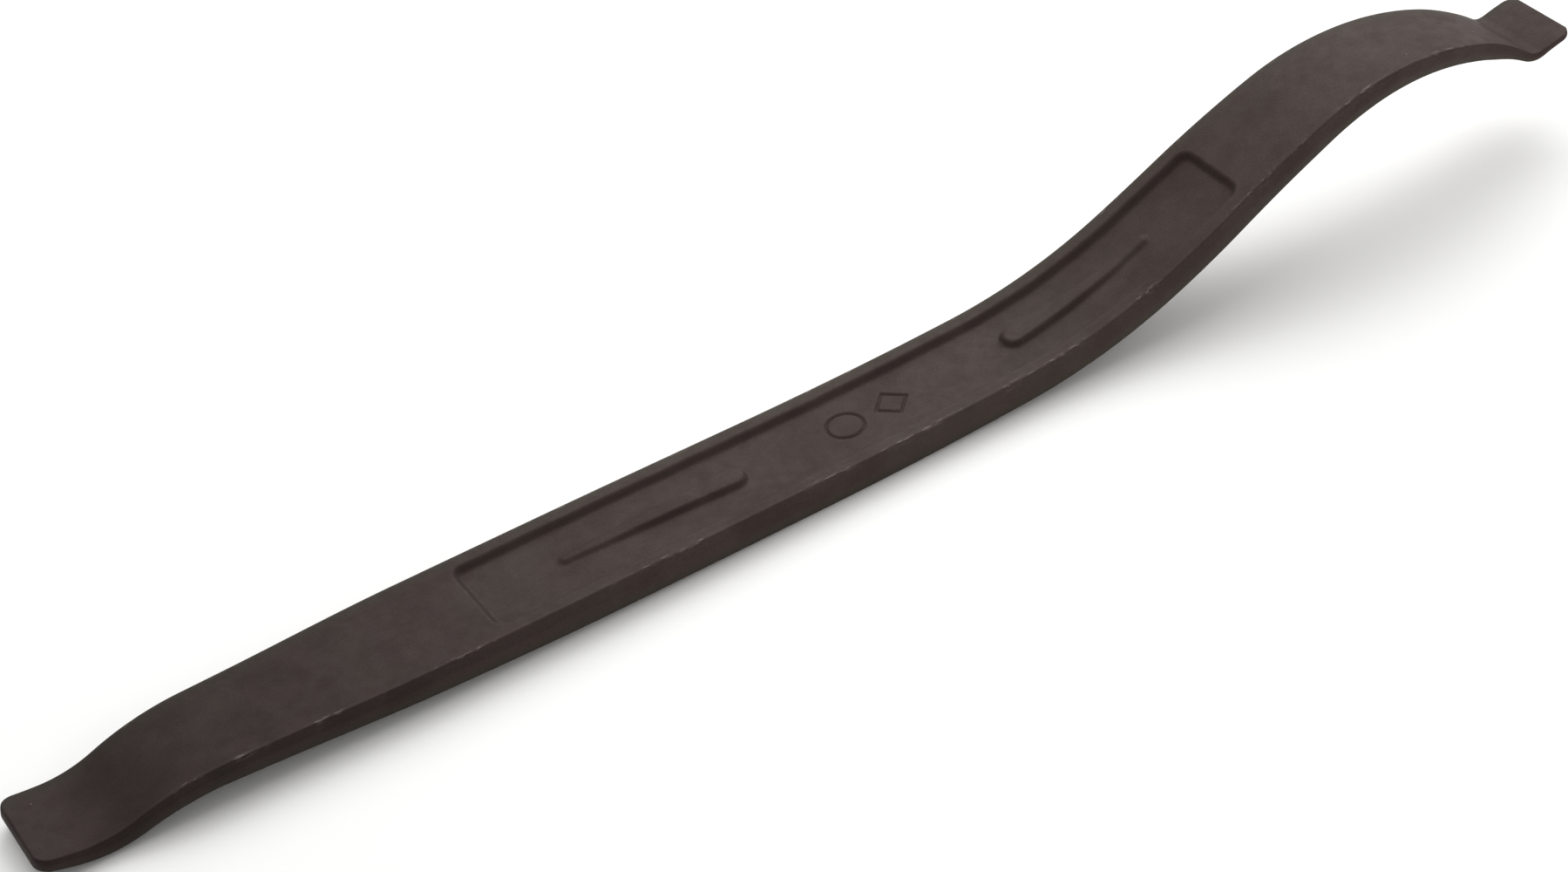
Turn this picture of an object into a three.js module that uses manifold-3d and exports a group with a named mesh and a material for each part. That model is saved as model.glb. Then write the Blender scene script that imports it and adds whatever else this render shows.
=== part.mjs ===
// Curved tyre lever: a single drop-forged steel bar, made in one piece.
//
// The bar is drawn along its top face: "s" is the distance along that face from the flat tip's
// end, "y" goes across the bar, and "depth" goes down into the steel, square to the top face.
// Row frame: X runs from the flat tip to the spoon, Y across, Z up, with the lever lying as it
// comes to rest on a bench. Origin: centre of the bounding box, at the bench. Millimetres.

import * as THREE from 'three';
import { mergeVertices } from 'three/addons/utils/BufferGeometryUtils.js';
import Module from 'manifold-3d';

// ---------------------------------------------------------------- driving dimensions

// Side profile of the top face: each stretch is an arc [length, slope in degrees at its end].
const START_SLOPE = -8.8;
const STRETCHES = [
  [9, -4.4],     // flat tip
  [13.5, 23.2],  // bend up behind the flat tip
  [22, 3],       // bend back level
  [142, 3],      // straight grip
  [56.5, 6],     // belly
  [44, 25.5],    // upsweep
  [19.5, 29],    // steepest stretch of the neck
  [30, 23],      // foot of the arch
  [50, -17.6],   // crown of the arch
  [18.8, -36.5], // falling end of the arch
  [4.5, 17.6],   // crease in front of the spoon
  [9.3, 11.2],   // spoon tip
];

// Width at the forging's parting line, and thickness, as [s, size].
const WIDTHS = [
  [0, 24.1], [26, 26.8], [56, 28.8], [96, 32], [136, 32.2], [191, 31.4], [246, 30.8],
  [291, 30.8], [331, 29], [363, 25.7], [386, 22.5], [399, 20.5], [409, 22], [419.1, 22],
];
const THICKNESSES = [
  [0, 2.9], [17, 4.25], [43, 5.4], [85, 6.7], [131, 7.75], [201, 7.75],
  [271, 7.2], [326, 6.6], [366, 5.3], [394, 4.3], [405, 2.5], [412, 1.6], [419.1, 1.3],
];

const SIDE_DRAFT = 7;         // degrees, on both halves of the side faces
const EDGE_RADIUS = 0.8;      // long edges
const TIP_CORNER_RADIUS = 3.5;
const TIP_EDGE_RADIUS = 0.55; // rounding of the end faces, top and bottom

// Recessed panel in the top of the grip, with two raised teardrop ribs on its centreline.
const PANEL_START = 109.5;
const PANEL_END = 313.5;
const PANEL_RIM = 4.2;        // from the parting line
const PANEL_DEPTH = 1.5;
const PANEL_WALL_RUN = 1.5;   // how far the sloping wall reaches in
const PANEL_CORNER_RADIUS = 3.5;
const RIB_TOP_DEPTH = 0.2;    // below the bar's top face
const RIB_WALL_RUN = 1.3;
const RIB_THIN_RADIUS = 0.5;
const RIB_THICK_RADIUS = 2.6;
const RIBS = [
  { thin: 131.5, thick: 174.5 },
  { thin: 289.3, thick: 251.4 },
];

// Plain forge mark pressed into the panel floor between the ribs: a ring and a diamond.
const MARK_DEPTH = 0.4;
const MARK_LINE = 0.9;
const MARK_RADIUS = 4.8;
const MARK_RING_AT = 204.5;
const MARK_DIAMOND_AT = 217;

const REST_TILT = 3.8;        // degrees, nose down, from the drawn profile to the lever at rest

// Faceting.
const DEGREES_PER_STEP = 4;
const LONGEST_STEP = 12;
const CORNER_STEPS = 3;
const OVERLAP = 1;            // how far cutting and joining solids reach past the surface they meet

// ---------------------------------------------------------------- the bar's line

const radians = THREE.MathUtils.degToRad;

// Point and slope of the top face's centreline at distance s.
function centreline(s) {
  let x = 0;
  let z = 0;
  let slope = radians(START_SLOPE);
  let left = s;
  for (const [length, endSlopeDegrees] of STRETCHES) {
    const bend = (radians(endSlopeDegrees) - slope) / length;
    const used = Math.min(left, length);
    const next = slope + bend * used;
    if (Math.abs(bend) < 1e-9) {
      x += used * Math.cos(slope);
      z += used * Math.sin(slope);
    } else {
      x += (Math.sin(next) - Math.sin(slope)) / bend;
      z += (Math.cos(slope) - Math.cos(next)) / bend;
    }
    slope = next;
    left -= used;
    if (left <= 0) break;
  }
  return { x, z, slope };
}

const BAR_LENGTH = STRETCHES.reduce((sum, [length]) => sum + length, 0);

// Monotone cubic through [s, size] stations: flat between two equal sizes.
function sizeAt(stations, s) {
  const last = stations.length - 1;
  const gap = (i) => stations[i + 1][0] - stations[i][0];
  const rise = (i) => (stations[i + 1][1] - stations[i][1]) / gap(i);
  const tangent = (i) => {
    if (i === 0) return rise(0);
    if (i === last) return rise(last - 1);
    const before = rise(i - 1);
    const after = rise(i);
    if (before * after <= 0) return 0;
    const weightBefore = 2 * gap(i) + gap(i - 1);
    const weightAfter = gap(i) + 2 * gap(i - 1);
    return (weightBefore + weightAfter) / (weightBefore / before + weightAfter / after);
  };
  let i = 0;
  while (i < last - 1 && s > stations[i + 1][0]) i += 1;
  const t = (s - stations[i][0]) / gap(i);
  return (2 * t ** 3 - 3 * t ** 2 + 1) * stations[i][1]
    + (t ** 3 - 2 * t ** 2 + t) * gap(i) * tangent(i)
    + (3 * t ** 2 - 2 * t ** 3) * stations[i + 1][1]
    + (t ** 3 - t ** 2) * gap(i) * tangent(i + 1);
}

// Drawn coordinates to a point in space.
function place(s, y, depth) {
  const { x, z, slope } = centreline(s);
  return [x + depth * Math.sin(slope), y, z - depth * Math.cos(slope)];
}

// How far a quarter round of this radius stands back, a given distance from where it starts.
function roundedBy(radius, distance) {
  if (distance >= radius) return 0;
  return radius - Math.sqrt(radius ** 2 - (radius - distance) ** 2);
}

// ---------------------------------------------------------------- solids

// Closed geometry from rings of equal count, each turning anticlockwise seen from the next one.
function loft(rings) {
  const count = rings[0].length;
  const index = [];
  for (let i = 0; i < rings.length - 1; i += 1) {
    for (let j = 0; j < count; j += 1) {
      const a = i * count + j;
      const b = i * count + (j + 1) % count;
      index.push(a, b, b + count, a, b + count, a + count);
    }
  }
  const end = (rings.length - 1) * count;
  for (let j = 1; j < count - 1; j += 1) {
    index.push(0, j + 1, j);
    index.push(end, end + j, end + j + 1);
  }
  const geometry = new THREE.BufferGeometry();
  geometry.setAttribute('position', new THREE.Float32BufferAttribute(rings.flat(2), 3));
  geometry.setIndex(index);
  return geometry;
}

// Solid between two outlines on the bent bar. An outline is a list of [s, half width] that is
// mirrored across the centreline; both have the same number of entries.
function plate(upper, upperDepth, lower, lowerDepth) {
  const rings = upper.map(([s, half], i) => {
    const [lowerS, lowerHalf] = lower[i];
    return [
      place(s, half, upperDepth),
      place(s, -half, upperDepth),
      place(lowerS, -lowerHalf, lowerDepth),
      place(lowerS, lowerHalf, lowerDepth),
    ];
  });
  return loft(rings);
}

// Distances along the bar that follow its bends, from one station to another.
function steps(from, to) {
  const stops = [from];
  let end = 0;
  let slope = START_SLOPE;
  for (const [length, endSlope] of STRETCHES) {
    const start = end;
    end += length;
    const count = Math.ceil(Math.max(Math.abs(endSlope - slope) / DEGREES_PER_STEP, length / LONGEST_STEP));
    slope = endSlope;
    for (let k = 1; k <= count; k += 1) {
      const s = start + length * k / count;
      if (s > from + OVERLAP && s < to - OVERLAP) stops.push(s);
    }
  }
  stops.push(to);
  return stops;
}

// Cross-section of the bar: flat top and bottom, rounded edges, and sides that lean in from the
// parting line at half thickness.
function barRing(s) {
  const fromTip = Math.min(s, BAR_LENGTH - s);
  const trim = roundedBy(TIP_EDGE_RADIUS, fromTip);
  const top = trim;
  const bottom = sizeAt(THICKNESSES, s) - trim;
  const parting = (top + bottom) / 2;
  const widest = sizeAt(WIDTHS, s) / 2 - roundedBy(TIP_CORNER_RADIUS, fromTip);
  const lean = (parting - top) * Math.tan(radians(SIDE_DRAFT));
  const radius = Math.min(EDGE_RADIUS, 0.3 * (bottom - top));
  const slant = radius * (1 - Math.SQRT1_2);
  const side = [
    [widest, parting],
    [widest - lean, top + radius],
    [widest - lean - slant, top + slant],
    [widest - lean - radius, top],
  ];
  const under = [
    [widest - lean - radius, bottom],
    [widest - lean - slant, bottom - slant],
    [widest - lean, bottom - radius],
  ];
  const mirrored = (points) => points.map(([y, depth]) => [-y, depth]).reverse();
  const ring = [...side, ...mirrored(side), ...mirrored(under), ...under];
  return ring.map(([y, depth]) => place(s, y, depth));
}

function barGeometry() {
  const tip = [0, 0.1, 0.4, 1, TIP_CORNER_RADIUS];
  const inner = steps(TIP_CORNER_RADIUS, BAR_LENGTH - TIP_CORNER_RADIUS).slice(1, -1);
  const stations = [...tip, ...inner, ...tip.map((d) => BAR_LENGTH - d).reverse()];
  return loft(stations.map(barRing));
}

// Rounded rectangle that follows the bar's width, moved in by an inset.
function panelOutline(inset) {
  const radius = PANEL_CORNER_RADIUS - inset;
  const start = PANEL_START + inset;
  const end = PANEL_END - inset;
  const half = (s) => sizeAt(WIDTHS, s) / 2 - PANEL_RIM - inset;
  const corner = [];
  for (let k = 0; k <= CORNER_STEPS; k += 1) {
    const turn = (Math.PI / 2) * k / CORNER_STEPS;
    corner.push([radius * (1 - Math.cos(turn)), radius * (1 - Math.sin(turn))]);
  }
  const first = corner.map(([along, back]) => [start + along, half(start) - back]);
  const last = corner.map(([along, back]) => [end - along, half(end) - back]).reverse();
  const from = PANEL_START + PANEL_CORNER_RADIUS;
  const to = PANEL_END - PANEL_CORNER_RADIUS;
  const middle = steps(from, to).slice(1, -1).map((s) => [s, half(s)]);
  return [...first, ...middle, ...last];
}

function panelCutter() {
  const flare = OVERLAP * PANEL_WALL_RUN / PANEL_DEPTH;
  return plate(panelOutline(-flare), -OVERLAP, panelOutline(PANEL_WALL_RUN), PANEL_DEPTH);
}

// Teardrop outline: a small and a large circle joined by straight sides.
function ribOutline(rib, grow) {
  const thinRadius = RIB_THIN_RADIUS + grow;
  const thickRadius = RIB_THICK_RADIUS + grow;
  const towards = Math.sign(rib.thick - rib.thin);
  const outline = [];
  for (let k = 1; k <= CORNER_STEPS; k += 1) {
    const turn = (Math.PI / 2) * k / CORNER_STEPS;
    outline.push([rib.thin - towards * thinRadius * Math.cos(turn), thinRadius * Math.sin(turn)]);
  }
  const spans = 5;
  for (let k = 1; k < spans; k += 1) {
    const s = THREE.MathUtils.lerp(rib.thin, rib.thick, k / spans);
    outline.push([s, THREE.MathUtils.lerp(thinRadius, thickRadius, k / spans)]);
  }
  for (let k = 2 * CORNER_STEPS; k >= 1; k -= 1) {
    const turn = (Math.PI / 2) * k / (2 * CORNER_STEPS);
    outline.push([rib.thick + towards * thickRadius * Math.cos(turn), thickRadius * Math.sin(turn)]);
  }
  return towards > 0 ? outline : outline.reverse();
}

function ribGeometry(rib) {
  const root = PANEL_DEPTH + OVERLAP;
  const grow = RIB_WALL_RUN * (root - RIB_TOP_DEPTH) / (PANEL_DEPTH - RIB_TOP_DEPTH);
  return plate(ribOutline(rib, 0), RIB_TOP_DEPTH, ribOutline(rib, grow), root);
}

// A closed line of even width, pressed into the panel floor: a polygon with its inner copy cut out.
function markGeometry(sides, at) {
  const ring = (radius) => {
    const points = [];
    for (let k = 0; k < sides; k += 1) {
      const turn = (2 * Math.PI * k) / sides;
      points.push(new THREE.Vector2(radius * Math.cos(turn), radius * Math.sin(turn)));
    }
    return points;
  };
  const inner = MARK_RADIUS - MARK_LINE / Math.cos(Math.PI / sides);
  const shape = new THREE.Shape(ring(MARK_RADIUS));
  shape.holes.push(new THREE.Path(ring(inner)));
  const geometry = new THREE.ExtrudeGeometry(shape, { depth: OVERLAP, bevelEnabled: false });
  geometry.rotateY(-centreline(at).slope);
  geometry.translate(...place(at, 0, PANEL_DEPTH + MARK_DEPTH));
  return geometry;
}

// ---------------------------------------------------------------- joining and cutting

const wasm = await Module();
wasm.setup();

function solid(geometry) {
  const bare = geometry.clone();
  bare.deleteAttribute('normal');
  bare.deleteAttribute('uv');
  const merged = mergeVertices(bare);
  const mesh = new wasm.Mesh({
    numProp: 3,
    vertProperties: new Float32Array(merged.attributes.position.array),
    triVerts: new Uint32Array(merged.index.array),
  });
  return new wasm.Manifold(mesh);
}

function geometryOf(manifold) {
  const mesh = manifold.getMesh();
  const geometry = new THREE.BufferGeometry();
  geometry.setAttribute('position', new THREE.Float32BufferAttribute(mesh.vertProperties, 3));
  geometry.setIndex(Array.from(mesh.triVerts));
  return geometry;
}

function forgedLeverGeometry() {
  let lever = solid(barGeometry()).subtract(solid(panelCutter()));
  for (const rib of RIBS) lever = lever.add(solid(ribGeometry(rib)));
  lever = lever.subtract(solid(markGeometry(24, MARK_RING_AT)));
  lever = lever.subtract(solid(markGeometry(4, MARK_DIAMOND_AT)));
  const geometry = geometryOf(lever);
  geometry.rotateY(radians(REST_TILT));
  geometry.computeBoundingBox();
  const { min, max } = geometry.boundingBox;
  geometry.translate(-(min.x + max.x) / 2, -(min.y + max.y) / 2, -min.z);
  geometry.computeVertexNormals();
  return geometry;
}

// ---------------------------------------------------------------- scene graph

const phosphatedSteel = new THREE.MeshStandardMaterial({
  color: 0x463d3a,
  roughness: 0.55,
  metalness: 0.7,
});

const forgedLever = new THREE.Mesh(forgedLeverGeometry(), phosphatedSteel);
forgedLever.name = 'forged_lever';

const tyreLever = new THREE.Group();
tyreLever.add(forgedLever);

export default tyreLever;
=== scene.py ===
import math

import bpy
import numpy as np
from mathutils import Matrix, Vector


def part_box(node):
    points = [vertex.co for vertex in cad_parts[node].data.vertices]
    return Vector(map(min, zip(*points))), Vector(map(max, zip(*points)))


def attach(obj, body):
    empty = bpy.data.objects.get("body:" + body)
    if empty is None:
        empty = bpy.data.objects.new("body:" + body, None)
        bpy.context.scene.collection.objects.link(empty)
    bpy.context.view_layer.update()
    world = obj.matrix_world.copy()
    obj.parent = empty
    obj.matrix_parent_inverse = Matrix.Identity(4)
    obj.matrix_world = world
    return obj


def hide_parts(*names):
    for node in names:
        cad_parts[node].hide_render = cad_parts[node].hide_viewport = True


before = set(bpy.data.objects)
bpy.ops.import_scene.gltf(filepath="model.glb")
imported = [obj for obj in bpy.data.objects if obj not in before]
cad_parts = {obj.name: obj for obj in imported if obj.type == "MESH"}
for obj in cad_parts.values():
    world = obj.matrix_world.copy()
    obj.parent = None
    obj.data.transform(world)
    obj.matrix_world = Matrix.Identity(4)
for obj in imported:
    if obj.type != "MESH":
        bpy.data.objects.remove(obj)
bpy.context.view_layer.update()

# ---------------------------------------------------------------- view of the bench
# The lever lies across the view with its flat tip near and its spoon away, seen from above the
# flat tip's side through a long lens, with the whole lever in the frame.
CAMERA_AT = Vector((-0.27423, -0.53596, 0.48162))
CAMERA_AIM = Vector((-0.01604, 0.00026, 0.01135))
CAMERA_ROLL = math.radians(9.436)
LENS = 77.69  # mm
SENSOR = 36.0  # mm
NEAREST_SEEN = 0.01

aim = (CAMERA_AIM - CAMERA_AT).normalized()
level = aim.cross(Vector((0, 0, 1))).normalized()
right = Matrix.Rotation(CAMERA_ROLL, 3, aim) @ level
turn = Matrix((right, right.cross(aim), -aim)).transposed()

camera_data = bpy.data.cameras.new("bench_view")
camera_data.lens = LENS
camera_data.sensor_width = SENSOR
camera_data.clip_start = NEAREST_SEEN
camera = bpy.data.objects.new("bench_view", camera_data)
camera.matrix_world = Matrix.Translation(CAMERA_AT) @ turn.to_4x4()
bpy.context.scene.collection.objects.link(camera)
bpy.context.scene.camera = camera

# ---------------------------------------------------------------- forged lever
# The whole tool is one bar of medium carbon steel, drop forged flat between two dies, trimmed
# of its flash along the middle of the sides, bent hot to its long double curve, and then
# coated in an oiled manganese phosphate bath.
MM = 0.001

# Side profile of the top face: arcs of [length in mm, slope in degrees at the end].
START_SLOPE = -8.8
STRETCHES = (
    (9.0, -4.4),  # flat tip
    (13.5, 23.2),  # bend up behind the flat tip
    (22.0, 3.0),  # bend back level
    (142.0, 3.0),  # straight grip
    (56.5, 6.0),  # belly
    (44.0, 25.5),  # upsweep
    (19.5, 29.0),  # steepest stretch of the neck
    (30.0, 23.0),  # foot of the arch
    (50.0, -17.6),  # crown of the arch
    (18.8, -36.5),  # falling end of the arch
    (4.5, 17.6),  # crease in front of the spoon
    (9.3, 11.2),  # spoon tip
)
BAR_LENGTH = sum(length for length, _ in STRETCHES)
REST_TILT = math.radians(3.8)

# Width at the parting line, and thickness, as (distance from the flat tip, size), in mm.
WIDTHS = (
    (0, 24.1), (26, 26.8), (56, 28.8), (96, 32), (136, 32.2), (191, 31.4), (246, 30.8),
    (291, 30.8), (331, 29), (363, 25.7), (386, 22.5), (399, 20.5), (409, 22), (419.1, 22),
)
THICKNESSES = (
    (0, 2.9), (17, 4.25), (43, 5.4), (85, 6.7), (131, 7.75), (201, 7.75),
    (271, 7.2), (326, 6.6), (366, 5.3), (394, 4.3), (405, 2.5), (412, 1.6), (419.1, 1.3),
)
SIDE_DRAFT = math.radians(7)
EDGE_RADIUS = 0.6
EDGE_SHARE = 0.3  # of the thickness, at most, goes into an edge's round
TIP_CORNER_RADIUS = 3.5
TIP_EDGE_RADIUS = 0.55
FLASH_LAND = 0.5
LAND_SHARE = 0.1  # of the thickness, at most, on each side of the parting line


def size_at(stations, s):
    """Monotone cubic through (distance, size) stations, flat between two equal sizes."""
    at = np.array([station[0] for station in stations], float)
    size = np.array([station[1] for station in stations], float)
    gap = np.diff(at)
    rise = np.diff(size) / gap
    tangent = np.empty(len(at))
    tangent[0] = rise[0]
    tangent[-1] = rise[-1]
    for i in range(1, len(at) - 1):
        before, after = rise[i - 1], rise[i]
        if before * after <= 0:
            tangent[i] = 0
            continue
        weights = 2 * gap[i] + gap[i - 1], gap[i] + 2 * gap[i - 1]
        tangent[i] = sum(weights) / (weights[0] / before + weights[1] / after)
    i = np.clip(np.searchsorted(at, s, side="right") - 1, 0, len(at) - 2)
    t = (s - at[i]) / gap[i]
    return (
        (2 * t**3 - 3 * t**2 + 1) * size[i]
        + (t**3 - 2 * t**2 + t) * gap[i] * tangent[i]
        + (3 * t**2 - 2 * t**3) * size[i + 1]
        + (t**3 - t**2) * gap[i] * tangent[i + 1]
    )


def ease(t):
    """Smooth step from 0 to 1, the section of a forged wall with a rounded top and foot."""
    t = np.clip(t, 0, 1)
    return t * t * (3 - 2 * t)


def rounded_by(radius, distance):
    """How far a quarter round stands back, a given distance from where it starts."""
    inside = np.minimum(distance, radius)
    return radius - np.sqrt(radius**2 - (radius - inside) ** 2)


def waver(s, wavelength, seed):
    """Slow uneven drift between -1 and 1 along the bar, left by hand-finished dies."""
    phases = np.random.default_rng(seed).uniform(0, 2 * math.pi, 4)
    ratios = (1.0, 1.7, 2.9, 4.3)
    waves = [np.sin(2 * math.pi * s * r / wavelength + p) / r for r, p in zip(ratios, phases)]
    return sum(waves) / sum(1 / r for r in ratios)


# The recessed panel on the top of the grip. Its wall is rounded off the rim and into the floor
# all round, so that the forging leaves its die.
PANEL_START = 108.3
PANEL_END = 313.5
PANEL_RIM = 3.8
PANEL_DEPTH = 1.5
PANEL_WALL_RUN = 2.3
PANEL_CORNER_RADIUS = 3.5


def panel_half_width(s):
    return size_at(WIDTHS, s) / 2 - PANEL_RIM


def inside_panel(s, y):
    """Distance in from the panel's edge, in mm; negative outside."""
    along = np.minimum(s - PANEL_START, PANEL_END - s)
    across = panel_half_width(s) - np.abs(y)
    radius = PANEL_CORNER_RADIUS
    in_corner = (along < radius) & (across < radius)
    corner = radius - np.hypot(radius - along, radius - across)
    return np.where(in_corner, corner, np.minimum(along, across))


# Two raised teardrop ribs on the panel's centreline, thick ends facing each other: thumb stops
# that also stiffen the web of the forging.
RIBS = ((131.5, 174.5), (289.3, 251.4))
RIB_TOP_DEPTH = 0.2
RIB_WALL_RUN = 1.9
RIB_THIN_RADIUS = 0.2
RIB_THICK_RADIUS = 2.2
RIB_THIN_HEIGHT = 0.5  # share of the full height that is left at the thin end
RIB_FULL_HEIGHT_AT = 1.5  # a rib is full height after its length divided by this


def outside_rib(s, y, thin, thick):
    """Distance out from a rib's top edge, in mm; negative on its top."""
    length = abs(thick - thin)
    along = (s - thin) * np.sign(thick - thin)
    across = np.abs(y)
    lean = (RIB_THIN_RADIUS - RIB_THICK_RADIUS) / length
    rise = math.sqrt(1 - lean * lean)
    turn_off = along * rise - across * lean
    thin_end = np.hypot(across, along) - RIB_THIN_RADIUS
    thick_end = np.hypot(across, along - length) - RIB_THICK_RADIUS
    flank = across * rise + along * lean - RIB_THIN_RADIUS
    ends = np.where(turn_off < 0, thin_end, flank)
    return np.where(turn_off > rise * length, thick_end, ends)


# A plain forge mark, a ring and a diamond, pressed into the floor between the ribs.
MARK_DEPTH = 0.4
MARK_LINE = 0.9
MARK_LINE_FLAT = 0.3  # share of a line's half width that is full depth
MARK_LINE_WALL = 0.9  # and the share that its wall takes
MARK_RADIUS = 4.8
MARK_RING_AT = 204.5
MARK_DIAMOND_AT = 217.0


def mark_share(s, y):
    """Share of the forge mark's depth, from 0 beside its lines to 1 along them."""
    ring = np.abs(np.hypot(s - MARK_RING_AT, y) - (MARK_RADIUS - MARK_LINE / 2))
    across_flats = (np.abs(s - MARK_DIAMOND_AT) + np.abs(y)) * math.sqrt(0.5)
    diamond = np.abs(across_flats - (MARK_RADIUS * math.sqrt(0.5) - MARK_LINE / 2))
    line = np.minimum(ring, diamond) / (MARK_LINE / 2)
    return 1 - ease((line - MARK_LINE_FLAT) / MARK_LINE_WALL)


def wall_share(s, y):
    """Share of the panel's depth: 0 on its rim, 1 on its floor."""
    drift_along = 0.12 * waver(s, wavelength=21.0, seed=11)
    drift_across = 0.08 * waver(y * 3, wavelength=17.0, seed=12)
    drift = drift_along + drift_across
    return ease((inside_panel(s, y) + drift) / PANEL_WALL_RUN)


def rib_flank(s, y, number):
    """Share of the drop from a rib's crown, 0 on top to 1 on the floor, and its height, in mm."""
    thin, thick = RIBS[number]
    share = np.clip((s - thin) / (thick - thin), 0, 1)
    drift = 0.08 * waver(s, wavelength=13.0, seed=21 + number)
    out = outside_rib(s, y, thin, thick) + drift
    swell = RIB_THIN_HEIGHT + (1 - RIB_THIN_HEIGHT) * ease(share * RIB_FULL_HEIGHT_AT)
    return ease(out / RIB_WALL_RUN), (PANEL_DEPTH - RIB_TOP_DEPTH) * swell


def top_depth(s, y):
    """Depth of the forged top below its plain face: panel, ribs and mark, in mm."""
    depth = (PANEL_DEPTH + MARK_DEPTH * mark_share(s, y)) * wall_share(s, y)
    for number in range(len(RIBS)):
        flank, height = rib_flank(s, y, number)
        crown = PANEL_DEPTH - height * (1 - flank)
        depth = np.where(flank < 1, np.minimum(depth, crown), depth)
    return depth


# Share of the painted shade along the forge mark's lines.
PAINTED_SHADE_IN_MARK = 0.9


def half_way(share):
    """1 where a share is a half, falling to 0 at none and all."""
    return 4 * share * (1 - share)


def painted_shade(s, y):
    """How much painted shade each place gets, 0 to 1: most half way down the walls and flanks."""
    wall = wall_share(s, y)
    darkening = np.maximum(half_way(wall), PAINTED_SHADE_IN_MARK * mark_share(s, y))
    for number in range(len(RIBS)):
        flank, height = rib_flank(s, y, number)
        darkening = np.maximum(darkening, half_way(flank) * height / PANEL_DEPTH)
    return darkening


def spaced(*stops):
    """Distances from (start, spacing) stops, each stretch divided evenly up to the next start."""
    places = []
    for (start, spacing), (end, _) in zip(stops, stops[1:]):
        count = max(1, round((end - start) / spacing))
        places.append(np.linspace(start, end, count, endpoint=False))
    places.append(np.array([stops[-1][0]]))
    return np.concatenate(places)


# Lines across the bar: close together where a wall, a round end or the mark needs them.
rows = spaced(
    (0, 0.2), (3.6, 1.2), (107, 0.2), (113, 0.8), (130, 0.25), (134, 0.7), (171, 0.2),
    (179, 0.8), (198, 0.25), (224, 0.8), (248, 0.2), (256, 0.7), (288, 0.25), (293, 0.8),
    (308, 0.2), (315, 1.2), (401, 0.5), (415.5, 0.2), (BAR_LENGTH, 0),
)
s = rows[:, None]
from_tip = np.minimum(s, BAR_LENGTH - s)
trim = rounded_by(TIP_EDGE_RADIUS, from_tip)
top = trim
bottom = size_at(THICKNESSES, s) - trim
parting = (top + bottom) / 2
widest = size_at(WIDTHS, s) / 2 - rounded_by(TIP_CORNER_RADIUS, from_tip)
radius = np.minimum(EDGE_RADIUS, EDGE_SHARE * (bottom - top))
shoulder = radius * (1 - math.sin(SIDE_DRAFT))
lean = (parting - top - shoulder) * math.tan(SIDE_DRAFT)
flat_edge = widest - lean - radius * math.cos(SIDE_DRAFT)


def between(start, end, count):
    """Columns that go from one line along the bar to another, leaving out the first."""
    steps = np.arange(1, count + 1) / count
    return start + (end - start) * steps


LEAST_HALF_WIDTH = 1.3
HALF_FLANK = 0.9
RIB_END_REACH = 3  # the lines spread from a rib's end over this length, in mm


def rib_half_width(s):
    """Half width of the rib's wall at mid height, and a little where there is no rib."""
    half_width = np.full_like(s, LEAST_HALF_WIDTH)
    for thin, thick in RIBS:
        share = np.clip((s - thin) / (thick - thin), 0, 1)
        here = RIB_THIN_RADIUS + (RIB_THICK_RADIUS - RIB_THIN_RADIUS) * share
        past_end = np.abs(s - (thin + thick) / 2) - abs(thick - thin) / 2 - RIB_THICK_RADIUS
        reach = ease((RIB_END_REACH - past_end) / RIB_END_REACH)
        half_width = np.maximum(half_width, (here + HALF_FLANK) * reach)
    return half_width


# Lines along the top, from the middle out: they crowd onto the rib's flank and the panel's
# wall, and even out where the mark is.
rib_line = rib_half_width(s)
plain_tip = 60  # no panel this near to a tip
least_rim = 2.4
flank_reach = 1.0
wall_reach = 1.5
next_to_edge = 0.6
mid_wall = panel_half_width(s) - PANEL_WALL_RUN / 2
wall_line = np.where(from_tip < plain_tip, 0.75 * flat_edge, mid_wall)
wall_line = np.minimum(wall_line, flat_edge - least_rim)
crowded = np.hstack([
    0 * s,
    between(0 * s, rib_line - flank_reach, 3),
    between(rib_line - flank_reach, rib_line + flank_reach, 8),
    between(rib_line + flank_reach, wall_line - wall_reach, 12),
])
mark_reach = 5.6
even = np.hstack([
    0 * s,
    between(0 * s, mark_reach + 0 * s, 19),
    between(mark_reach + 0 * s, wall_line - wall_reach, 4),
])
mark_lines_start, mark_lines_end = 191, 231
change_over = 7
near_mark = ease((rows - mark_lines_start) / change_over)
near_mark = near_mark * ease((mark_lines_end - rows) / change_over)
middle_columns = crowded + (even - crowded) * near_mark[:, None]
top_columns = np.hstack([
    middle_columns,
    between(wall_line - wall_reach, wall_line + wall_reach, 11),
    between(wall_line + wall_reach, flat_edge - next_to_edge, 2),
    flat_edge,
])

# The rest of the half section: rounded top edge, drafted side with its trimmed flash land,
# rounded bottom edge and plain underside.
edge_steps = 6
side_steps = 4
under_steps = 8
turns = np.arange(1, edge_steps + 1) / edge_steps * (math.pi / 2 - SIDE_DRAFT)
edge_y = flat_edge + radius * np.sin(turns)
edge_depth = top + radius * (1 - np.cos(turns))
land = np.minimum(FLASH_LAND / 2, LAND_SHARE * (bottom - top))
side_y = between(edge_y[:, -1:], widest, side_steps)
side_depth = between(edge_depth[:, -1:], parting - land, side_steps)


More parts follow.
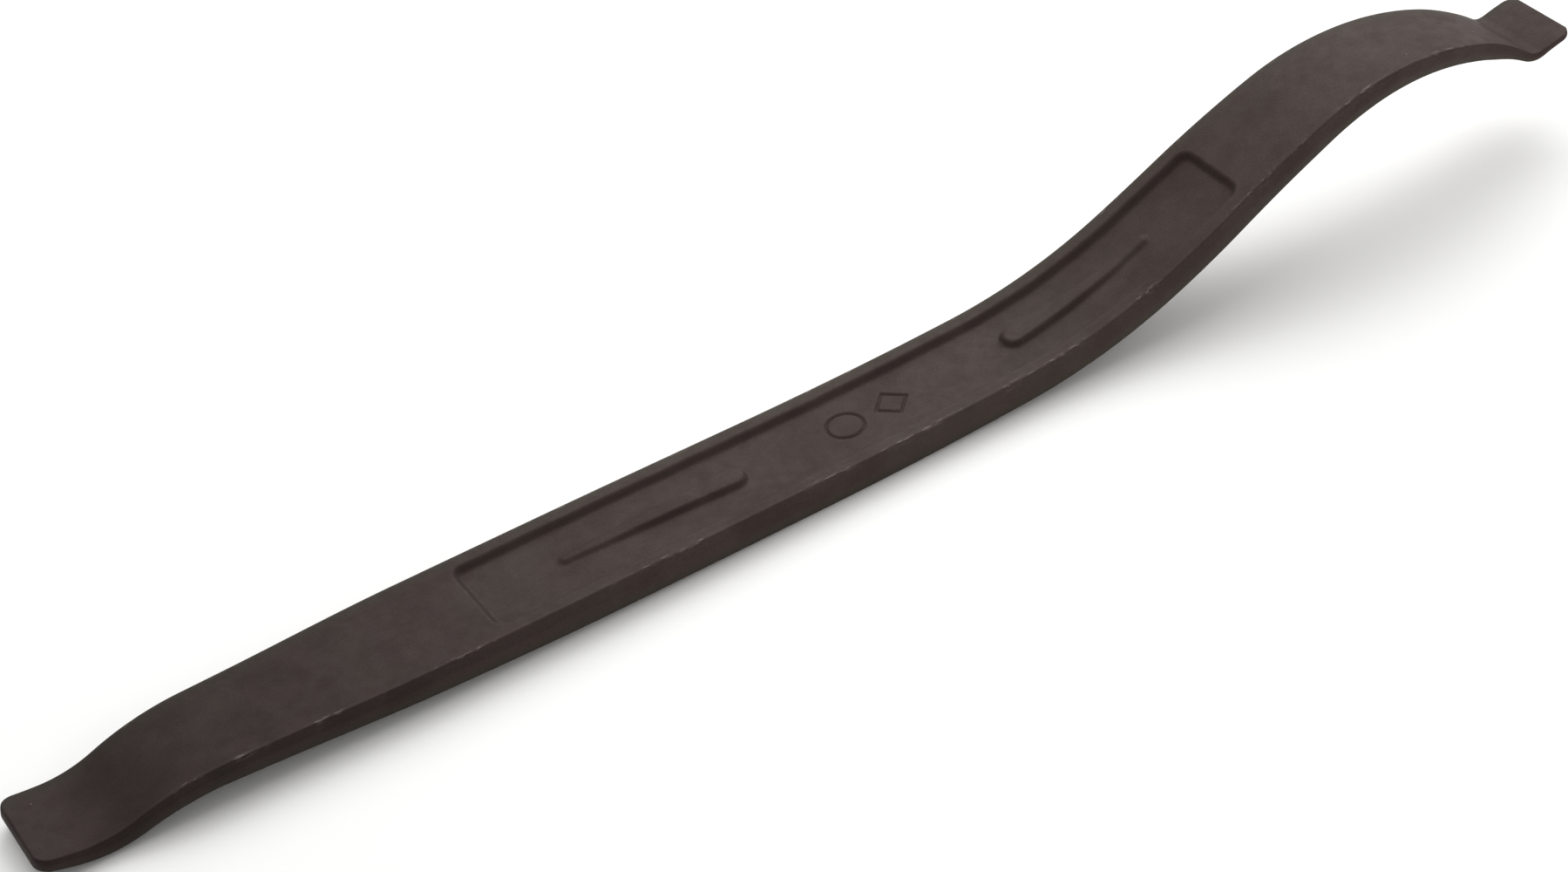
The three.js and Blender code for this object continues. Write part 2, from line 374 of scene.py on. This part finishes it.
def half_section(sign):
    """One half of every cross-section, from the middle of the top to the middle beneath."""
    over_y = np.hstack([top_columns, edge_y, side_y])
    face = top_depth(s, sign * top_columns) + top
    over_depth = np.hstack([face, edge_depth, side_depth])
    under_y = np.hstack([side_y[:, ::-1], edge_y[:, -2::-1], flat_edge])
    mirrored = np.hstack([side_depth[:, ::-1], edge_depth[:, -2::-1], top + 0 * s])
    under_depth = top + bottom - mirrored
    flat_y = between(flat_edge, 0 * s, under_steps)
    flat_depth = bottom + 0 * flat_y
    y = sign * np.hstack([over_y, under_y, flat_y])
    return y, np.hstack([over_depth, under_depth, flat_depth])


left_y, left_depth = half_section(1)
right_y, right_depth = half_section(-1)
ring_y = np.hstack([left_y, right_y[:, -2:0:-1]])
ring_depth = np.hstack([left_depth, right_depth[:, -2:0:-1]])
row_count, ring_count = ring_y.shape

blank_points = np.stack([s + 0 * ring_y, ring_y, -ring_depth], axis=-1) * MM
ring = np.arange(ring_count)
after = np.roll(ring, -1)
row_start = np.arange(row_count - 1)[:, None] * ring_count
quads = np.stack(
    [row_start + ring, row_start + ring_count + ring, row_start + ring_count + after,
     row_start + after], axis=-1
).reshape(-1, 4)
faces = quads.tolist()
faces.append(ring.tolist())
faces.append((ring[::-1] + (row_count - 1) * ring_count).tolist())

blank_mesh = bpy.data.meshes.new("forged_lever")
blank_mesh.from_pydata(blank_points.reshape(-1, 3).tolist(), [], faces)

# How rubbed each place is, 0 to 1: most on the long top edges away from the tips, less round the
# panel's rim.
EDGE_RUB_REACH = 0.45
PANEL_RUB = 0.12
PANEL_RUB_REACH = 0.5
UNRUBBED_TIP = 8
RUB_GROWS_OVER = 25

on_top = ring_depth < parting
from_edge = np.abs(np.abs(ring_y) - flat_edge)
edge_rub = np.exp(-((from_edge / EDGE_RUB_REACH) ** 2)) * on_top
edge_rub = edge_rub * ease((from_tip - UNRUBBED_TIP) / RUB_GROWS_OVER)
panel_rub = PANEL_RUB * np.exp(-((inside_panel(s, ring_y) / PANEL_RUB_REACH) ** 2)) * on_top

# How much painted light tint each place gets, 0 to 1: a greener, lighter coat colour painted on
# the far rim's outer strip, the far side and everything below the parting line.
FAR_RIM_TINT_SHARE = 0.8
FAR_RIM_TINT_WIDTH = 4.5
FAR_RIM_TINT_FADE = 4.0
far_rim_tint = FAR_RIM_TINT_SHARE * ease((ring_y - flat_edge + FAR_RIM_TINT_WIDTH) / FAR_RIM_TINT_FADE)
painted_light_tint = np.maximum(far_rim_tint, ease((ring_depth - parting) / (0.3 * bottom)))

# How far each place is from the flat tip, 0 to 1, for painted shade towards the flat tip, and the
# painted shade on the drafted side above the trimmed land, darkest at the flat tip.
TIP_SHADE_START = 5
TIP_SHADE_LENGTH = 190
UPPER_SIDE_PAINTED_SHADE = 1.2
UPPER_SIDE_FADE = 0.9
PAINTED_SIDE_SHADE_LOST_BY_SPOON = 0.75
from_flat_tip = ease((s + 0 * ring_y - TIP_SHADE_START) / TIP_SHADE_LENGTH)
upper_side = ease((np.abs(ring_y) - flat_edge) / radius)
upper_side = upper_side * ease((parting - ring_depth) / UPPER_SIDE_FADE)
painted_side_shade = UPPER_SIDE_PAINTED_SHADE * upper_side * (1 - PAINTED_SIDE_SHADE_LOST_BY_SPOON * from_flat_tip)

# Laid on the mesh: the rubbed places, a painted light tint, the distance that sets painted shade
# towards the flat tip, and painted shade in the recesses and on the upper drafted side.
for name, share in (
    ("rub", np.maximum(edge_rub, panel_rub)),
    ("painted_light_tint", painted_light_tint),
    ("from_flat_tip", from_flat_tip),
    ("painted_shade", np.maximum(painted_shade(s, ring_y) * on_top, painted_side_shade)),
):
    attribute = blank_mesh.attributes.new(name, "FLOAT", "POINT")
    attribute.data.foreach_set("value", share.reshape(-1).astype(np.float32))
blank_mesh.update()
blank = bpy.data.objects.new("forged_lever", blank_mesh)
bpy.context.scene.collection.objects.link(blank)


def add_node(tree, kind, settings=None, inputs=None):
    """A node with its settings, and its inputs given as plain values or as other sockets."""
    node = tree.nodes.new(kind)
    for name, value in (settings or {}).items():
        setattr(node, name, value)
    for key, value in (inputs or {}).items():
        if isinstance(value, bpy.types.NodeSocket):
            tree.links.new(value, node.inputs[key])
        else:
            node.inputs[key].default_value = value
    return node


def linear(hex_colour):
    """sRGB hex to the linear colour that a shader takes."""
    parts = [int(hex_colour[i : i + 2], 16) / 255 for i in (0, 2, 4)]
    return [c / 12.92 if c <= 0.04045 else ((c + 0.055) / 1.055) ** 2.4 for c in parts] + [1]


# Manganese phosphate on forged steel: a dark brown crystal coat that oil has dulled, matte and
# close to even, browner on the flats, in green patches here and there, with a painted greener and
# lighter tint of the light on the far rim and below the parting line. Painted shade darkens it
# towards the flat tip, on the upper drafted side and in the panel's walls, rib flanks and mark.
# It has a fine grit, low scale marks from the forging beneath it, and a few scuffs of grey steel
# on rubbed edges.
COAT_DARK = "382c29"
COAT_WARM = "3f3330"
COAT_GREEN = "3e3932"
BARE_STEEL = "8f8680"
# Painted shade: how dark the coat is painted at the flat tip, and at most in the recesses and on
# the upper side.
PAINTED_SHADE_AT_FLAT_TIP = 0.66
DARKEST_PAINTED_SHADE = 0.76
COAT_SPECULAR = 0.10
# Share of green in the painted light tint.
GREEN_OF_PAINTED_TINT = 0.75
GREEN_IN_PATCHES = 0.3
EVEN_RUB = 0.03
SCUFF_STRENGTH = 0.4
SPECK_STRENGTH = 0.35
STEEL_METALLIC = 0.8
STEEL_SMOOTHER_BY = 0.12

# Sizes of the coat's patterns, in mm.
MOTTLE_SIZE = 11
GREEN_PATCH_SIZE = 34
GRIT_SIZE = 0.45
GRIT_HEIGHT = 0.025
SCALE_MARK_SIZE = 3.0
SCALE_MARK_HEIGHT = 0.06
SCUFF_GROUP_SIZE = 12
SCUFF_WIDTH = 0.6
SCUFF_STRETCH = 0.22  # a scuff's width over its length
SPECK_SPACING = 7.5
SPECK_LARGEST = 0.05  # of the spacing

steel = bpy.data.materials.new("oiled_phosphated_forged_steel")
steel.use_nodes = True
shader_tree = steel.node_tree
shader_tree.nodes.clear()
place = add_node(shader_tree, "ShaderNodeTexCoord").outputs["Object"]


def noise(size, detail, roughness=0.5, where=place):
    """Noise whose features are about the given size in mm."""
    node = add_node(
        shader_tree, "ShaderNodeTexNoise", None,
        {"Vector": where, "Scale": 1 / (size * MM), "Detail": detail, "Roughness": roughness},
    )
    return node.outputs["Fac"]


def spread(value, low, high, to_low=0.0, to_high=1.0):
    """A value between low and high, eased over to another pair."""
    node = add_node(
        shader_tree, "ShaderNodeMapRange", {"interpolation_type": "SMOOTHSTEP"},
        {"Value": value, "From Min": low, "From Max": high, "To Min": to_low, "To Max": to_high},
    )
    return node.outputs["Result"]


def reckon(operation, a, b):
    """Two values added, multiplied or compared."""
    node = add_node(shader_tree, "ShaderNodeMath", {"operation": operation}, {0: a, 1: b})
    return node.outputs[0]


def blend_colours(share, a, b):
    """A colour between two others."""
    node = add_node(
        shader_tree, "ShaderNodeMix", {"data_type": "RGBA"}, {0: share, 6: a, 7: b}
    )
    return node.outputs[2]


def laid_on(name):
    """One of the blank's own values, as it was laid on the mesh."""
    return add_node(
        shader_tree, "ShaderNodeAttribute", {"attribute_name": name}
    ).outputs["Fac"]


mottle = spread(noise(MOTTLE_SIZE, 3), 0.35, 0.65)
coat = blend_colours(mottle, linear(COAT_DARK), linear(COAT_WARM))
# Painted light tint: a greener, lighter coat on the far rim and below the parting line.
painted_tint_green = reckon("MULTIPLY", laid_on("painted_light_tint"), GREEN_OF_PAINTED_TINT)
green_patches = spread(noise(GREEN_PATCH_SIZE, 2), 0.48, 0.66, 0.0, GREEN_IN_PATCHES)
green_share = reckon("MAXIMUM", painted_tint_green, green_patches)
coat = blend_colours(green_share, coat, linear(COAT_GREEN))

grit = noise(GRIT_SIZE, 2, 0.6)
scale_marks = noise(SCALE_MARK_SIZE, 3, 0.55)
grit_shade = spread(grit, 0.25, 0.75, 0.88, 1.12)
# Painted shade: the coat is darkened towards the flat tip, on the upper drafted side, and in the
# panel's walls, rib flanks and mark lines.
tip_shade = spread(laid_on("from_flat_tip"), 0.0, 1.0, PAINTED_SHADE_AT_FLAT_TIP, 1.0)
painted_shade_factor = spread(laid_on("painted_shade"), 0.0, 1.0, 1.0, DARKEST_PAINTED_SHADE)
shade = reckon("MULTIPLY", reckon("MULTIPLY", grit_shade, tip_shade), painted_shade_factor)
coat = add_node(
    shader_tree, "ShaderNodeHueSaturation", None, {"Value": shade, "Color": coat}
).outputs["Color"]

lengthwise = add_node(
    shader_tree, "ShaderNodeVectorMath", {"operation": "MULTIPLY"},
    {0: place, 1: (SCUFF_STRETCH, 1.0, 1.0)},
).outputs["Vector"]
scuff_groups = spread(noise(SCUFF_GROUP_SIZE, 2), 0.44, 0.64)
scuffs = spread(noise(SCUFF_WIDTH, 2, 0.6, lengthwise), 0.50, 0.66)
edge_scuffs = reckon("MULTIPLY", laid_on("rub"), reckon("MULTIPLY", scuff_groups, scuffs))
specks = add_node(
    shader_tree, "ShaderNodeTexVoronoi", None,
    {"Vector": place, "Scale": 1 / (SPECK_SPACING * MM)},
)
speck_chance = spread(specks.outputs["Color"], 0.6, 1.0)
speck_size = reckon("MULTIPLY", speck_chance, SPECK_LARGEST)
speck = reckon("LESS_THAN", specks.outputs["Distance"], speck_size)
bare = reckon(
    "MAXIMUM", reckon("MULTIPLY", edge_scuffs, SCUFF_STRENGTH),
    reckon("MULTIPLY", speck, SPECK_STRENGTH),
)
bare = reckon("MAXIMUM", bare, reckon("MULTIPLY", laid_on("rub"), EVEN_RUB))

surface = blend_colours(bare, coat, linear(BARE_STEEL))
coat_roughness = spread(scale_marks, 0.3, 0.7, 0.56, 0.66)
roughness = reckon("SUBTRACT", coat_roughness, reckon("MULTIPLY", bare, STEEL_SMOOTHER_BY))
forging_bump = add_node(
    shader_tree, "ShaderNodeBump", None,
    {"Strength": 1.0, "Distance": SCALE_MARK_HEIGHT * MM, "Height": scale_marks},
)
grit_bump = add_node(
    shader_tree, "ShaderNodeBump", None,
    {"Strength": 1.0, "Distance": GRIT_HEIGHT * MM, "Height": grit,
     "Normal": forging_bump.outputs["Normal"]},
)
steel_shader = add_node(
    shader_tree, "ShaderNodeBsdfPrincipled", None,
    {"Base Color": surface, "Metallic": reckon("MULTIPLY", bare, STEEL_METALLIC),
     "Roughness": roughness, "Specular IOR Level": COAT_SPECULAR,
     "Normal": grit_bump.outputs["Normal"]},
)
add_node(
    shader_tree, "ShaderNodeOutputMaterial", None, {"Surface": steel_shader.outputs["BSDF"]}
)


def bar_line(spacing):
    """Points along the top face's centreline as it lies on the bench, in mm."""
    points = [(0.0, 0.0)]
    slope = math.radians(START_SLOPE)
    for length, end_slope in STRETCHES:
        count = round(length / spacing)
        bend = (math.radians(end_slope) - slope) / length
        step = length / count
        for _ in range(count):
            middle = slope + bend * step / 2
            x, z = points[-1]
            points.append((x + step * math.cos(middle), z + step * math.sin(middle)))
            slope += bend * step
    x, z = np.array(points).T
    along = x * math.cos(REST_TILT) + z * math.sin(REST_TILT)
    up = z * math.cos(REST_TILT) - x * math.sin(REST_TILT)
    return np.stack([along, 0 * along, up], axis=-1)


line_points = bar_line(spacing=0.25) * MM
line_curve = bpy.data.curves.new("bar_line", "CURVE")
line_curve.dimensions = "3D"
spline = line_curve.splines.new("POLY")
spline.points.add(len(line_points) - 1)
spline.points.foreach_set("co", np.c_[line_points, np.ones(len(line_points))].ravel())
line = bpy.data.objects.new("bar_line", line_curve)
bpy.context.scene.collection.objects.link(line)

# Bending: each point of the straight blank goes to its distance along the bar's line, its
# offset across, and its height square to the line.
bending = bpy.data.node_groups.new("bend_hot_blank", "GeometryNodeTree")
sides = bending.interface
sides.new_socket("Blank", in_out="INPUT", socket_type="NodeSocketGeometry")
sides.new_socket("Bar line", in_out="INPUT", socket_type="NodeSocketObject")
sides.new_socket("Finish", in_out="INPUT", socket_type="NodeSocketMaterial")
sides.new_socket("Lever", in_out="OUTPUT", socket_type="NodeSocketGeometry")
given = add_node(bending, "NodeGroupInput")
line_shape = add_node(
    bending, "GeometryNodeObjectInfo", None, {"Object": given.outputs["Bar line"]}
)
drawn = add_node(
    bending, "ShaderNodeSeparateXYZ", None,
    {"Vector": add_node(bending, "GeometryNodeInputPosition").outputs["Position"]},
)
on_line = add_node(
    bending, "GeometryNodeSampleCurve", {"mode": "LENGTH", "use_all_curves": True},
    {"Curves": line_shape.outputs["Geometry"], "Length": drawn.outputs["X"]},
)
across = (0.0, 1.0, 0.0)
square_up = add_node(
    bending, "ShaderNodeVectorMath", {"operation": "CROSS_PRODUCT"},
    {0: on_line.outputs["Tangent"], 1: across},
)
raised = add_node(
    bending, "ShaderNodeVectorMath", {"operation": "SCALE"},
    {0: square_up.outputs["Vector"], "Scale": drawn.outputs["Z"]},
)
sideways = add_node(bending, "ShaderNodeCombineXYZ", None, {"Y": drawn.outputs["Y"]})
offset = add_node(
    bending, "ShaderNodeVectorMath", {"operation": "ADD"},
    {0: raised.outputs["Vector"], 1: sideways.outputs["Vector"]},
)
bent = add_node(
    bending, "ShaderNodeVectorMath", {"operation": "ADD"},
    {0: on_line.outputs["Position"], 1: offset.outputs["Vector"]},
)
moved = add_node(
    bending, "GeometryNodeSetPosition", None,
    {"Geometry": given.outputs["Blank"], "Position": bent.outputs["Vector"]},
)
smooth = add_node(
    bending, "GeometryNodeSetShadeSmooth", None, {"Geometry": moved.outputs["Geometry"]}
)
realised = add_node(
    bending, "GeometryNodeRealizeInstances", None, {"Geometry": smooth.outputs["Geometry"]}
)
finished = add_node(
    bending, "GeometryNodeSetMaterial", None,
    {"Geometry": realised.outputs["Geometry"], "Material": given.outputs["Finish"]},
)
add_node(bending, "NodeGroupOutput", None, {"Lever": finished.outputs["Geometry"]})

dies = blank.modifiers.new("bend_hot_blank", "NODES")
dies.node_group = bending
sockets = {item.name: item.identifier for item in bending.interface.items_tree}
dies[sockets["Bar line"]] = line
dies[sockets["Finish"]] = steel

bpy.context.view_layer.update()
evaluated = blank.evaluated_get(bpy.context.evaluated_depsgraph_get())
lever_mesh = bpy.data.meshes.new_from_object(evaluated)
lever_mesh.name = "forged_lever"
blank.modifiers.remove(dies)
bpy.data.objects.remove(blank)
bpy.data.objects.remove(line)

# The bent bar is set down where the CAD bar lies: same middle, same lowest point.
cad_low, cad_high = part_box("forged_lever")
corners = np.empty(len(lever_mesh.vertices) * 3)
lever_mesh.vertices.foreach_get("co", corners)
corners = corners.reshape(-1, 3)
low, high = corners.min(axis=0), corners.max(axis=0)
lever_mesh.transform(Matrix.Translation((
    (cad_low.x + cad_high.x - low[0] - high[0]) / 2,
    (cad_low.y + cad_high.y - low[1] - high[1]) / 2,
    cad_low.z - low[2],
)))
lever = bpy.data.objects.new("lever_bar", lever_mesh)
bpy.context.scene.collection.objects.link(lever)
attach(lever, "root")
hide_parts("forged_lever")

# ---------------------------------------------------------------- bench top
# A plain pale sheet that the lever lies on.
BENCH_COLOUR = "f7f7f6"
BENCH_ROUGHNESS = 0.9
BENCH_SIZE = 24.0
half = BENCH_SIZE / 2
bench_mesh = bpy.data.meshes.new("bench_top")
bench_mesh.from_pydata(
    [(-half, -half, 0), (half, -half, 0), (half, half, 0), (-half, half, 0)], [], [(0, 1, 2, 3)]
)
bench = bpy.data.objects.new("bench_top", bench_mesh)
bpy.context.scene.collection.objects.link(bench)
paper = bpy.data.materials.new("matte_white_paper")
paper.use_nodes = True
sheet = paper.node_tree.nodes["Principled BSDF"]
sheet.inputs["Base Color"].default_value = linear(BENCH_COLOUR)
sheet.inputs["Roughness"].default_value = BENCH_ROUGHNESS
bench_mesh.materials.append(paper)

# ---------------------------------------------------------------- studio light
# A near soft light behind the spoon end, which makes the arch brightest and fades towards the
# flat tip, a broad one overhead and behind, a weak low one in front and a dim pale room.
ROOM_COLOUR = "f5f4f3"
ROOM_STRENGTH = 0.36


def softbox(name, at, aimed_at, size, watts):
    """A square area light."""
    lamp = bpy.data.lights.new(name, "AREA")
    lamp.shape = "SQUARE"
    lamp.size = size
    lamp.energy = watts
    holder = bpy.data.objects.new(name, lamp)
    holder.location = at
    holder.rotation_euler = (Vector(aimed_at) - Vector(at)).to_track_quat("-Z", "Y").to_euler()
    bpy.context.scene.collection.objects.link(holder)


softbox(
    "softbox_behind_spoon", at=(0.54, 0.54, 0.60), aimed_at=(0.08, 0.0, 0.0), size=0.9, watts=7.8
)
softbox(
    "softbox_overhead", at=(-0.15, 0.75, 1.50), aimed_at=(-0.05, 0.0, 0.0), size=2.4, watts=20.0
)
softbox(
    "softbox_low_in_front", at=(0.45, -0.75, 0.28), aimed_at=(0.08, 0.0, 0.01), size=0.7,
    watts=2.7,
)

room = bpy.data.worlds.new("pale_room")
room.use_nodes = True
backdrop = room.node_tree.nodes["Background"]
backdrop.inputs["Color"].default_value = linear(ROOM_COLOUR)
backdrop.inputs["Strength"].default_value = ROOM_STRENGTH
bpy.context.scene.world = room
bpy.context.scene.view_settings.view_transform = "Standard"
